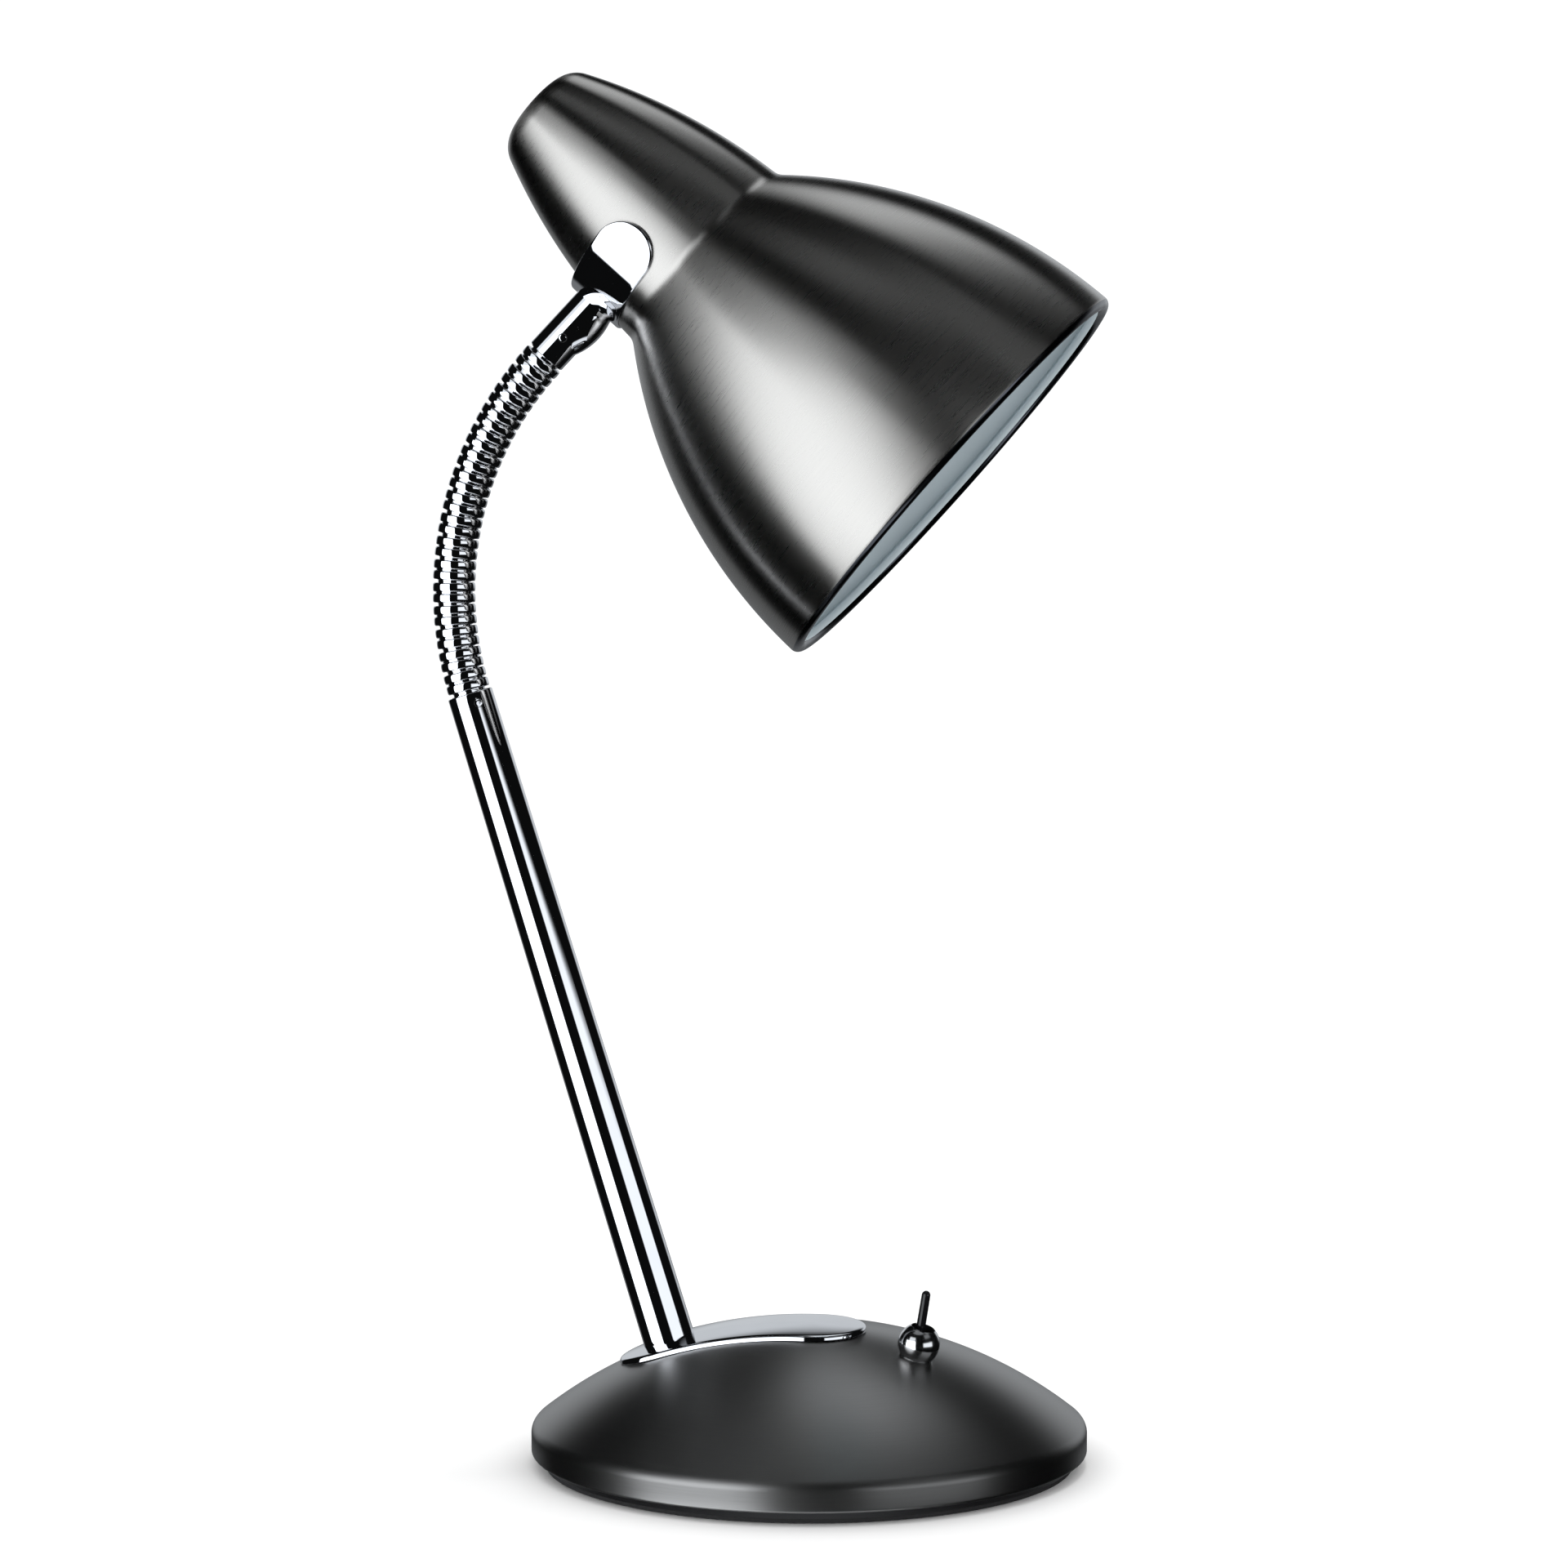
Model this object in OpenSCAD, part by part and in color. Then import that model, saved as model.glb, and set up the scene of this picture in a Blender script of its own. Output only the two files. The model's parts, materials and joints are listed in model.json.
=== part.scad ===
// Desk lamp with a domed round base, leaning tapered stem, short gooseneck and spun metal shade.
// Millimetres. +Z is up, +X is the side the shade hangs over, the origin is under the middle of the base.

/* [Base] */

// outside diameter of the base at its rolled rim
base_d = 160; // [140:1:200]
// height of the dome's highest point above the table
dome_top = 39.4; // [34:0.2:48]
// radius of the sphere that the dome is part of
dome_r = 127; // [115:1:150]
// radius of the rolled rim's section
rim_r = 4; // [3:0.25:5]
// sheet thickness of the dome
dome_t = 1.2; // [0.8:0.1:2]
// diameter of the black bottom plate
plate_d = 158.6; // [150:0.1:159]
// thickness of the soft pad under the plate
pad_t = 1.2; // [0.8:0.1:2]
// underside of the rolled rim above the table, which is also the top of the bottom plate
plate_top = 5.1; // [4.5:0.1:6]
// diameter of the cast weight inside the base
weight_d = 128; // [110:1:132]
// top of the cast weight above the table
weight_top = 16.5; // [12:0.5:18]
// distance of the three fixing posts from the middle
post_ring_r = 54; // [48:1:56]

/* [Saddle plate] */

// distance from the middle to the far end of the plate, on the stem's side
saddle_back = 55; // [50:1:58]
// distance from the middle to the plate's other end
saddle_front = 17; // [12:1:24]
// width of the plate
saddle_w = 30; // [24:1:34]
// thickness of the plate
saddle_t = 1.4; // [1:0.1:2]
// radius that the plate is arched to
saddle_arch = 138; // [127:1:150]
// how far the plate is turned about the stem's foot, in degrees
saddle_turn = -4.8; // [-10:0.2:10]

/* [Stem] */

// how far the stem's foot stands behind the middle
stem_x = 40.8; // [36:0.2:44]
// lean of the stem from upright, in degrees
stem_lean = 17.2; // [10:0.1:25]
// length of the stem
stem_len = 196; // [150:1:240]
// stem diameter at the foot
stem_foot_d = 15; // [13:0.1:17]
// stem diameter at the top
stem_top_d = 13.1; // [12.8:0.1:14]
// bore of the stem
stem_bore_d = 10.6; // [9:0.1:11]

/* [Gooseneck] */

// outside diameter of the coils
goose_d = 12.3; // [11:0.1:13]
// length of one segment of two coils, between its joint centres
seg_len = 6.44; // [6:0.01:7]
// direction of the gooseneck's end, in degrees from upright
goose_end = 43.6; // [20:0.1:70]
// gap between neighbouring segments
seg_gap = 0.9; // [0.6:0.05:1.2]
// radius of the ball inside each joint
ball_r = 4.65; // [4:0.05:4.8]
// clearance round the ball
ball_play = 0.2; // [0.1:0.05:0.3]
// radius of the wiring hole
wire_hole_r = 2.5; // [2:0.1:2.8]
// radius of the lead inside
lead_r = 1.8; // [1.2:0.1:2]

/* [Ferrule and neck saddle] */

// diameter of the upper ferrule
ferrule_d = 11.8; // [11:0.1:13]
// length of the ferrule up to the neck saddle
ferrule_len = 20.3; // [16:0.1:28]
// width of the neck saddle, along the shade's axis
strap_w = 17.6; // [16:0.1:22]
// thickness of the neck saddle
strap_t = 0.85; // [0.6:0.05:2]
// distance of the saddle's middle from the shade's closed end
strap_along = 50.9; // [45:0.1:55]
// outside radius of the neck saddle
strap_r = 31.6; // [31:0.05:33]
// distance of its rounded ends' centres below the shade's axis
strap_ends = 13.2; // [8:0.1:20]

/* [Shade] */

// slope of the shade's axis below the horizontal, in degrees
shade_drop = 41.6; // [20:0.1:70]
// distance of the ferrule's end from the closed end, along the axis
neck_along = 49.7; // [45:0.1:55]
// sheet thickness of the shade
shade_t = 1; // [0.8:0.1:1.5]
// radius of the closed end's rounded corner
end_round = 8.5; // [6:0.5:10]
// radius of the long arc that makes the neck
neck_arc = 174.5; // [150:0.5:200]
// where the neck arc's centre lies along the axis
neck_arc_at = 76; // [70:0.5:85]
// how far the neck arc's centre lies beyond the axis
neck_arc_off = 143; // [120:0.1:170]
// radius of the arc that makes the bell
bell_arc = 148; // [140:0.5:160]
// where the bell arc's centre lies along the axis
bell_arc_at = 161.4; // [155:0.2:170]
// how far the bell arc's centre lies beyond the axis
bell_arc_off = 81.5; // [75:0.5:90]
// length from the closed end to the middle of the rolled rim
bell_len = 158; // [150:0.2:165]
// radius of the rolled rim's section
bead_r = 2.2; // [1.2:0.1:2.5]

/* [Switch] */

// distance of the switch from the middle of the base
switch_ring_r = 36; // [30:1:45]
// direction of the switch from the middle, in degrees
switch_turn = -26; // [-60:1:0]
// diameter of the ball-shaped collar
collar_d = 12.1; // [10:0.1:14]
// height of the ball's centre above the dome
collar_rise = 3.8; // [2:0.1:4]
// length of the lever from its pivot
lever_len = 18.5; // [12:0.1:20]
// radius of the lever
lever_r = 1.25; // [1:0.05:1.6]
// lean of the lever from the collar's axis, either way, in degrees
lever_tilt = 6; // [4:1:12]

/* [Lampholder and bulb] */

// diameter of the lampholder
holder_d = 35; // [32:0.5:37]
// distance of the holder's mouth from the shade's closed end
holder_end = 62; // [58:0.5:66]
// diameter of the bulb's globe
globe_d = 45; // [40:1:48]
// distance of the globe's centre from the shade's closed end
globe_at = 93.5; // [88:0.5:96]

/* [Hidden] */

$fn = 96;
base_r = base_d / 2;
dome_z = dome_top - dome_r;
rim_x = base_r - rim_r;
rim_z = dome_z + sqrt(pow(dome_r - rim_r, 2) - rim_x * rim_x);
segs = 16;
seg_turn = (stem_lean + goose_end) / segs;
foot_r = dome_r + saddle_t;
foot_z = dome_z + sqrt(foot_r * foot_r - stem_x * stem_x);
goose_x = -stem_x - stem_len * sin(stem_lean);
goose_z = foot_z + stem_len * cos(stem_lean);
gland_turn = 115;
gland_z = 11.5;
gland_bore_r = 3.3;
socket_r = ball_r + ball_play;
end_flat = sqrt(pow(neck_arc - end_round, 2) - pow(neck_arc_at - end_round, 2)) - neck_arc_off;
tiny = 0.01;
neck_below = strap_r;

// direction of one segment from upright, and the position of the joint at its top
function seg_dir(k) = -stem_lean + seg_turn * (k - 0.5);
function joint_x(k) = k == 0 ? goose_x : joint_x(k - 1) + seg_len * sin(seg_dir(k));
function joint_z(k) = k == 0 ? goose_z : joint_z(k - 1) + seg_len * cos(seg_dir(k));

// A tube, solid between two heights.
module ring(outer, inner, low, high) {
  translate([0, 0, low])
    difference() {
      cylinder(r = outer, h = high - low);
      translate([0, 0, -1])
        cylinder(r = inner, h = high - low + 2);
    }
}

// A six-sided nut with a round hole.
module hex_nut(across, inner, low, high) {
  translate([0, 0, low])
    difference() {
      cylinder(r = across / sqrt(3), h = high - low, $fn = 6);
      translate([0, 0, -1])
        cylinder(r = inner, h = high - low + 2);
    }
}

// A round lead along a path of points, with a ball at each bend.
module lead(path, r) {
  for (i = [0 : len(path) - 2]) {
    step = path[i + 1] - path[i];
    flat = sqrt(step[0] * step[0] + step[1] * step[1]);
    translate(path[i])
      rotate([0, atan2(flat, step[2]), atan2(step[1], step[0])])
        cylinder(r = r, h = norm(step), $fn = 48);
    if (i > 0)
      translate(path[i])
        sphere(r = r + 0.08, $fn = 48);
  }
}

// Frames of the leaning and turned groups.
module in_dome() {
  translate([0, 0, dome_z])
    children();
}

module in_stem() {
  translate([-stem_x, 0, foot_z])
    rotate([0, -stem_lean, 0])
      children();
}

module in_segment(k) {
  translate([joint_x(k - 1), 0, joint_z(k - 1)])
    rotate([0, seg_dir(k), 0])
      children();
}

module in_ferrule() {
  translate([joint_x(segs), 0, joint_z(segs)])
    rotate([0, goose_end, 0])
      children();
}

module in_shade() {
  translate([joint_x(segs) + ferrule_len * sin(goose_end), 0, joint_z(segs) + ferrule_len * cos(goose_end)])
    rotate([0, 90 + shade_drop, 0])
      translate([-neck_below, 0, -neck_along])
        children();
}

module in_switch() {
  in_dome()
    rotate([0, asin(switch_ring_r / dome_r), switch_turn])
      translate([0, 0, dome_r])
        children();
}

module at_posts() {
  for (turn = [0, 75, 235])
    rotate([0, 0, turn])
      translate([post_ring_r, 0, 0])
        children();
}

module in_gland() {
  rotate([0, 0, gland_turn])
    translate([0, 0, gland_z])
      rotate([0, 90, 0])
        children();
}

// ---------------------------------------------------------------- base

// Half section of the dome and its rolled rim, shrunk by a skin thickness.
module dome_section(skin) {
  edge = dome_r - rim_r;
  intersection() {
    translate([0, dome_z])
      circle(r = dome_r - skin, $fn = 180);
    polygon([[0, rim_z], [rim_x, rim_z], [rim_x * (edge + 9) / edge, dome_z + (rim_z - dome_z) * (edge + 9) / edge],
      [rim_x, 60], [0, 60]]);
  }
  intersection() {
    translate([rim_x, rim_z])
      circle(r = rim_r - skin);
    translate([rim_x - rim_r, 0])
      square([3 * rim_r, 40]);
  }
}

module base_solid(skin) {
  rotate_extrude($fn = 180)
    dome_section(skin);
}

module base_shell() {
  color([0.36, 0.36, 0.38])
    difference() {
      rotate_extrude($fn = 180)
        difference() {
          union() {
            dome_section(0);
            translate([rim_x - rim_r, plate_top])
              square([rim_r, rim_z - plate_top + tiny]);
          }
          dome_section(dome_t);
          translate([-1, 0])
            square([rim_x - rim_r + 3, rim_z + tiny]);
          translate([rim_x - rim_r, plate_top + dome_t])
            square([rim_r, rim_z - plate_top - dome_t + tiny]);
        }
      in_stem()
        translate([0, 0, -12])
          cylinder(r = 5, h = 24);
      in_switch()
        translate([0, 0, -5])
          cylinder(r = 3.7, h = 10);
      in_gland()
        translate([0, 0, 62])
          cylinder(r = 4.6, h = 30);
    }
}

module base_weight() {
  color([0.2, 0.2, 0.21])
    difference() {
      union() {
        translate([0, 0, plate_top + 0.2])
          cylinder(r = weight_d / 2 - 2, h = weight_top - plate_top - 0.2, $fn = 180);
        translate([0, 0, plate_top + 0.2])
          cylinder(r = weight_d / 2, h = weight_top - plate_top - 2.2, $fn = 180);
      }
      at_posts()
        cylinder(r = 2.3, h = 40);
    }
}

module base_plate() {
  color([0.05, 0.05, 0.05])
    difference() {
      union() {
        translate([0, 0, pad_t])
          cylinder(r1 = plate_d / 2 - 2.9, r2 = plate_d / 2, h = plate_top - pad_t, $fn = 180);
      }
      at_posts() {
        cylinder(r = 2.1, h = 20);
        translate([0, 0, pad_t - tiny])
          cylinder(r1 = 4, r2 = 2.1, h = 1.9);
      }
    }
}

module base_pad() {
  color([0.1, 0.1, 0.11])
    difference() {
      cylinder(r = plate_d / 2 - 3.2, h = pad_t, $fn = 180);
      at_posts()
        translate([0, 0, -1])
          cylinder(r = 5, h = 4);
    }
}

module base_posts() {
  color([0.6, 0.6, 0.6])
    difference() {
      intersection() {
        at_posts()
          translate([0, 0, weight_top + 0.1])
            cylinder(r = 4, h = 20);
        in_dome()
          sphere(r = dome_r - dome_t, $fn = 180);
      }
      at_posts()
        cylinder(r = 1.6, h = 24);
    }
}

module plate_screws() {
  color([0.7, 0.7, 0.7])
    at_posts()
      difference() {
        union() {
          translate([0, 0, pad_t + 0.1])
            cylinder(r1 = 3.8, r2 = 1.6, h = 2.2);
          translate([0, 0, pad_t + 2])
            cylinder(r = 1.6, h = 19.6);
        }
        translate([-2.2, -0.35, 0])
          cube([4.4, 0.7, pad_t + 0.9]);
        translate([-0.35, -2.2, 0])
          cube([0.7, 4.4, pad_t + 0.9]);
      }
}

module saddle_plate() {
  half = saddle_w / 2;
  middle = (saddle_back - saddle_front) / 2;
  color([0.75, 0.76, 0.78])
    difference() {
      intersection() {
        in_dome()
          rotate([0, -asin(middle / dome_r), 0])
            translate([0, 0, dome_r + 0.02 - saddle_arch])
              difference() {
                sphere(r = saddle_arch + saddle_t, $fn = 180);
                sphere(r = saddle_arch, $fn = 180);
              }
        translate([-stem_x, 0, 15])
          rotate([0, 0, saddle_turn]) {
            translate([half - saddle_back + stem_x, 0, 0])
              cylinder(r = half, h = 40);
            translate([saddle_front - half + stem_x, 0, 0])
              cylinder(r = half, h = 40);
            translate([half - saddle_back + stem_x, -half, 0])
              cube([saddle_back + saddle_front - saddle_w, saddle_w, 40]);
          }
      }
      in_stem()
        translate([0, 0, -12])
          cylinder(r = 5, h = 24);
    }
}

module cable_gland() {
  color([0.06, 0.06, 0.06])
    difference() {
      union() {
        difference() {
          in_gland()
            translate([0, 0, 70])
              cylinder(r1 = 6.2, r2 = 5.6, h = 12.4);
          base_solid(-0.02);
          cylinder(r = base_r - 2, h = 60);
        }
        in_gland() {
          translate([0, 0, 67])
            cylinder(r = 4.5, h = 13);
          translate([0, 0, 65.6])
            cylinder(r = 5.2, h = 1.8);
        }
      }
      in_gland()
        translate([0, 0, 60])
          cylinder(r = gland_bore_r, h = 30);
    }
}

// ---------------------------------------------------------------- wiring in the base

module terminal_block() {
  color([0.85, 0.85, 0.8])
    translate([-6, 28, weight_top])
      difference() {
        translate([-8, -5, 0])
          cube([16, 10, 9]);
        for (side = [-1, 1])
          translate([side * 4, 0, 4.5]) {
            rotate([90, 0, 0])
              translate([0, 0, -10])
                cylinder(r = 2.1, h = 20);
            cylinder(r = 1.6, h = 9);
          }
      }
}

module base_lead() {
  color([0.15, 0.15, 0.15])
    lead([[-2, 21, 20], [23.4, -11, 19]], lead_r);
}

module stem_lead() {
  color([0.15, 0.15, 0.15]) {
    lead([[-10, 26, 21], [-10, 18, 21], [-16, 10, 20], [-26, 3, 19.2], [-33, 0, 19.6], [-36, 0, 21.4]], lead_r);
    in_stem()
      translate([0, 0, -13.9])
        cylinder(r = lead_r, h = stem_len + 12, $fn = 48);
  }
}

// ---------------------------------------------------------------- switch

module switch_body() {
  color([0.08, 0.08, 0.08])
    in_switch()
      translate([-6.5, -4.5, -13])
        cube([13, 9, 8]);
}

module switch_bushing() {
  color([0.7, 0.7, 0.7])
    in_switch()
      ring(3.6, 2.35, -5, 3);
}

module switch_nut() {
  color([0.7, 0.7, 0.7])
    in_switch()
      hex_nut(10, 3.6, -4.4, -1.5);
}

module switch_terminals() {
  color([0.8, 0.65, 0.3])
    in_switch()
      for (side = [-1, 1])
        translate([side * 4 - 0.4, -1.5, -16.4])
          cube([0.8, 3, 3.4]);
}

module switch_collar() {
  color([0.85, 0.86, 0.88])
    difference() {
      in_switch()
        difference() {
          intersection() {
            translate([0, 0, collar_rise])
              sphere(r = collar_d / 2);
            translate([0, 0, -3])
              cylinder(r = 10, h = collar_rise + 5 + 3);
          }
          translate([0, 0, -4])
            cylinder(r = 3.6, h = 7);
          translate([0, 0, 2.9])
            cylinder(r = 3.3, h = 10);
        }
      in_dome()
        sphere(r = dome_r + 0.02, $fn = 180);
    }
}

module switch_lever() {
  color([0.03, 0.03, 0.03])
    in_switch()
      translate([0, 0, 1])
        rotate([0, -lever_tilt, 0]) {
          sphere(r = 2.15, $fn = 48);
          cylinder(r1 = lever_r + 0.1, r2 = lever_r, h = lever_len - lever_r, $fn = 48);
          translate([0, 0, lever_len - lever_r])
            sphere(r = lever_r, $fn = 48);
        }
}

// ---------------------------------------------------------------- stem

module stem_tube() {
  slope = (stem_foot_d - stem_top_d) / 2 / stem_len;
  color([0.85, 0.86, 0.88])
    difference() {
      in_stem()
        difference() {
          translate([0, 0, -5])
            cylinder(r1 = stem_foot_d / 2 + 5 * slope, r2 = stem_top_d / 2, h = stem_len + 4.4);
          translate([0, 0, -6])
            cylinder(r = stem_bore_d / 2, h = stem_len + 12);
          translate([0, 0, stem_len - 4])
            rotate([90, 0, 26])
              cylinder(r = 1.3, h = 12);
        }
      in_dome()
        rotate([0, -asin((saddle_back - saddle_front) / 2 / dome_r), 0])
          translate([0, 0, dome_r + 0.02 - saddle_arch])
            sphere(r = saddle_arch + saddle_t + 0.01, $fn = 180);
    }
}

module stem_nipple() {
  color([0.75, 0.7, 0.5])
    in_stem() {
      ring(4.9, 3, -13, 4);
      ring(stem_bore_d / 2 - 0.05, 3, 4, 18);
    }
}

module stem_washer() {
  color([0.7, 0.7, 0.7])
    intersection() {
      in_stem()
        ring(9, 5, -4.8, 0);
      in_dome()
        sphere(r = dome_r - dome_t - 0.02, $fn = 180);
    }
}

module stem_nut() {
  color([0.7, 0.7, 0.7])
    in_stem()
      hex_nut(14, 4.9, -9.6, -4.8);
}

// The plug in the stem's top, with the ball of the first joint.
module gooseneck_plug() {
  color([0.75, 0.76, 0.78])
    in_stem()
      translate([0, 0, stem_len])
        difference() {
          union() {
            translate([0, 0, -14])
              cylinder(r = stem_bore_d / 2 - 0.05, h = 14 - seg_gap / 2);
            intersection() {
              sphere(r = ball_r);
              translate([0, 0, -2])
                cylinder(r = 6, h = 5);
            }
          }
          translate([0, 0, -20])
            cylinder(r = wire_hole_r, h = 30);
          translate([0, 0, -4])
            rotate([90, 0, 26])
              cylinder(r = 1.3, h = 12);
        }
}

module grub_screw(length) {
  difference() {
    cylinder(r = 1.25, h = length, $fn = 48);
    translate([0, 0, length - 0.8])
      cylinder(r = 0.7, h = 2, $fn = 6);
  }
}

module lower_grub_screw() {
  color([0.5, 0.5, 0.52])
    in_stem()
      translate([0, 0, stem_len - 4])
        rotate([90, 0, 26])
          translate([0, 0, wire_hole_r + 0.1])
            grub_screw(stem_top_d / 2 - wire_hole_r - 0.2);
}

// ---------------------------------------------------------------- gooseneck

// One coil, a bulged band.
module coil(low, high) {
  bulge = 3.2;
  rotate_extrude()
    intersection() {
      translate([goose_d / 2 - bulge, (low + high) / 2])
        circle(r = bulge);
      translate([4, low])
        square([6, high - low]);
    }
}

// Two coils that turn as one, with a ball on top and a socket below.
module segment(k) {
  half = seg_gap / 2;
  last = k == segs;
  color([0.8, 0.81, 0.84])
    in_segment(k)
      difference() {
        union() {
          translate([0, 0, half])
            cylinder(r = goose_d / 2 - 0.75, h = seg_len - seg_gap);
          coil(half, seg_len / 2 - 0.35);
          coil(seg_len / 2 + 0.35, seg_len - half);
          if (last)
            translate([0, 0, seg_len])
              rotate([0, seg_turn / 2, 0])
                translate([0, 0, -1])
                  cylinder(r = ball_r, h = 9);
          else
            intersection() {
              translate([0, 0, seg_len])
                sphere(r = ball_r);
              translate([0, 0, seg_len - 2])
                cylinder(r = 6, h = 5);
            }
        }
        sphere(r = socket_r);
        translate([0, 0, -1])
          cylinder(r = wire_hole_r, h = 20);
      }
}

module coil_01() { segment(1); }
module coil_02() { segment(2); }
module coil_03() { segment(3); }
module coil_04() { segment(4); }
module coil_05() { segment(5); }
module coil_06() { segment(6); }
module coil_07() { segment(7); }
module coil_08() { segment(8); }
module coil_09() { segment(9); }
module coil_10() { segment(10); }
module coil_11() { segment(11); }
module coil_12() { segment(12); }
module coil_13() { segment(13); }
module coil_14() { segment(14); }
module coil_15() { segment(15); }
module coil_16() { segment(16); }

module gooseneck_lead() {
  color([0.15, 0.15, 0.15])
    lead([for (k = [0 : segs]) [joint_x(k), 0, joint_z(k)]], lead_r);
}

// ---------------------------------------------------------------- ferrule and neck saddle

module upper_ferrule() {
  barrel_arc = 18.5;
  barrel_r = 5.75;
  color([0.85, 0.86, 0.88])
    in_ferrule()
      difference() {
        union() {
          translate([0, 0, seg_gap / 2])
            cylinder(r = ferrule_d / 2, h = ferrule_len + 2 - seg_gap / 2);
          translate([1.9, 0, 14.5])
            rotate_extrude()
              intersection() {
                translate([barrel_r - barrel_arc, 0])
                  circle(r = barrel_arc, $fn = 96);
                translate([0, -10])
                  square([10, 18.5]);
              }
        }
        translate([0, 0, -1])
          cylinder(r = ball_r + 0.02, h = 9.2);
        translate([0, 0, 8])
          cylinder(r = wire_hole_r, h = 30);
        translate([0, 0, ferrule_len - 8])
          cylinder(r = 4, h = 12);
        translate([0, 0, 8.2])
          rotate([90, 0, 8])
            cylinder(r = 1.3, h = 12);
        translate([0, 0, ferrule_len])
          rotate([0, 90 + shade_drop - goose_end, 0])
            translate([-neck_below, 0, -neck_along - 15])
              cylinder(r = strap_r + tiny, h = 100, $fn = 180);
      }
}

module upper_grub_screw() {
  color([0.5, 0.5, 0.52])
    in_ferrule()
      translate([0, 0, 8.2])
        rotate([90, 0, 8])
          translate([0, 0, ball_r + 0.05])
            grub_screw(ferrule_d / 2 - ball_r - 0.15);
}

// The arched plate that holds the neck from below, with rounded ends.
module neck_saddle() {
  color([0.85, 0.86, 0.88])
    difference() {
      in_shade()
        intersection() {
          ring(strap_r, strap_r - strap_t, strap_along - 12, strap_along + 12, $fn = 180);
          union() {
            translate([strap_ends, 0, strap_along])
              rotate([90, 0, 0])
                cylinder(r = strap_w / 2, h = 90, center = true);
            translate([strap_ends, -45, strap_along - strap_w / 2])
              cube([40, 90, strap_w]);
          }
        }
      in_ferrule()
        cylinder(r = 4.05, h = 40);
    }
}

// Radius of the shade's neck at a distance from the closed end.
function neck_r(along) = sqrt(pow(neck_arc, 2) - pow(along - neck_arc_at, 2)) - neck_arc_off;

// A cone that follows the neck under the saddle, a given depth inside its face.
module neck_cone(depth) {
  low = strap_along - 9.4;
  translate([0, 0, low])
    cylinder(r1 = neck_r(low) - depth, r2 = neck_r(low + 17) - depth, h = 17, $fn = 180);
}

// The spacer that fills the wedge between the saddle and the neck.
module neck_spacer() {
  color([0.5, 0.5, 0.5])
    difference() {
      intersection() {
        in_ferrule()
          ring(7, 4.05, ferrule_len - 1, ferrule_len + 5);
        in_shade()
          translate([0, 0, strap_along - 12])
            cylinder(r = strap_r - strap_t - 0.02, h = 24, $fn = 180);
      }
      in_shade()
        neck_cone(-0.23);
    }
}

module neck_nipple() {
  color([0.75, 0.7, 0.5])
    in_ferrule()
      ring(3.98, wire_hole_r, ferrule_len - 7.5, ferrule_len + 8.5);
}

// The shaped spacer between the neck's skin and its nut.
module neck_seat() {
  color([0.5, 0.5, 0.5])
    intersection() {
      in_ferrule()
        ring(8, 4.05, ferrule_len + 1, ferrule_len + 5);
      in_shade()
        neck_cone(shade_t + 0.05);
    }
}

module neck_nut() {
  color([0.7, 0.7, 0.7])
    in_ferrule()
      hex_nut(12, 4, ferrule_len + 5, ferrule_len + 7.8);
}

// ---------------------------------------------------------------- shade

// Half section of the spun shade without its rim, shrunk by a skin thickness.
module shade_section(skin) {
  intersection() {
    translate([-neck_arc_off, neck_arc_at])
      circle(r = neck_arc - skin, $fn = 180);
    polygon([[0, end_round], [end_flat, end_round], [end_flat + 30, end_round - 32], [60, 0], [60, 67], [0, 67]]);
  }
  intersection() {
    translate([-bell_arc_off, bell_arc_at])
      circle(r = bell_arc - skin, $fn = 180);
    translate([0, 63])
      square([90, bell_len - 63 + (skin > 0 ? 10 : 0)]);
  }
  translate([0, skin])
    square([end_flat, end_round - skin + tiny]);
  intersection() {
    translate([end_flat, end_round])
      circle(r = end_round - skin);
    translate([0, 0])
      square([60, end_round * 2]);
  }
}

module shade_solid(skin) {
  rotate_extrude($fn = 180)
    shade_section(skin);
}

module shade_shell() {
  rim_at = sqrt(bell_arc * bell_arc - pow(bell_len - bell_arc_at, 2)) - bell_arc_off;
  color([0.36, 0.36, 0.38])
    in_shade()
      difference() {
        union() {
          difference() {
            shade_solid(0);
            shade_solid(shade_t);
          }
          rotate_extrude($fn = 180)
            translate([rim_at - bead_r, bell_len])
              circle(r = bead_r, $fn = 48);
        }
        translate([neck_below, 0, neck_along])
          rotate([0, -90 + goose_end - shade_drop, 0])
            cylinder(r = 4.2, h = 20, center = true);
      }
}

// ---------------------------------------------------------------- lampholder and bulb

module holder_plate() {
  color([0.7, 0.7, 0.7])
    in_shade()
      difference() {
        intersection() {
          shade_solid(shade_t + 0.02);
          translate([0, 0, 14])
            cylinder(r = 40, h = 1.5);
        }
        translate([0, 0, 10])
          cylinder(r = 4.92, h = 10);
        for (side = [-1, 1])
          translate([0, side * 12.5, 10])
            cylinder(r = 2.5, h = 10);
      }
}

module holder_nipple() {
  color([0.75, 0.7, 0.5])
    in_shade()
      ring(4.9, 3.2, 8, 22);
}

module holder_nut() {
  color([0.7, 0.7, 0.7])
    in_shade()
      hex_nut(14, 4.9, 10.5, 14);
}

module holder_body() {
  color([0.93, 0.93, 0.9])
    in_shade()
      difference() {
        union() {
          translate([0, 0, 15.5])
            cylinder(r1 = 12, r2 = holder_d / 2 - 1.5, h = 6);
          translate([0, 0, 21.5])
            cylinder(r = holder_d / 2 - 1.5, h = holder_end - 23.5);
          translate([0, 0, holder_end - 8])
            cylinder(r = holder_d / 2, h = 8);
        }
        translate([0, 0, 15])
          cylinder(r = 4.92, h = 7.1);
        translate([0, 0, 34])
          cylinder(r = 14.3, h = 40);
        translate([8, 0, 27.2])
          rotate([0, 90, 0])
            cylinder(r = 3.5, h = 20);
      }
}

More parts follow.
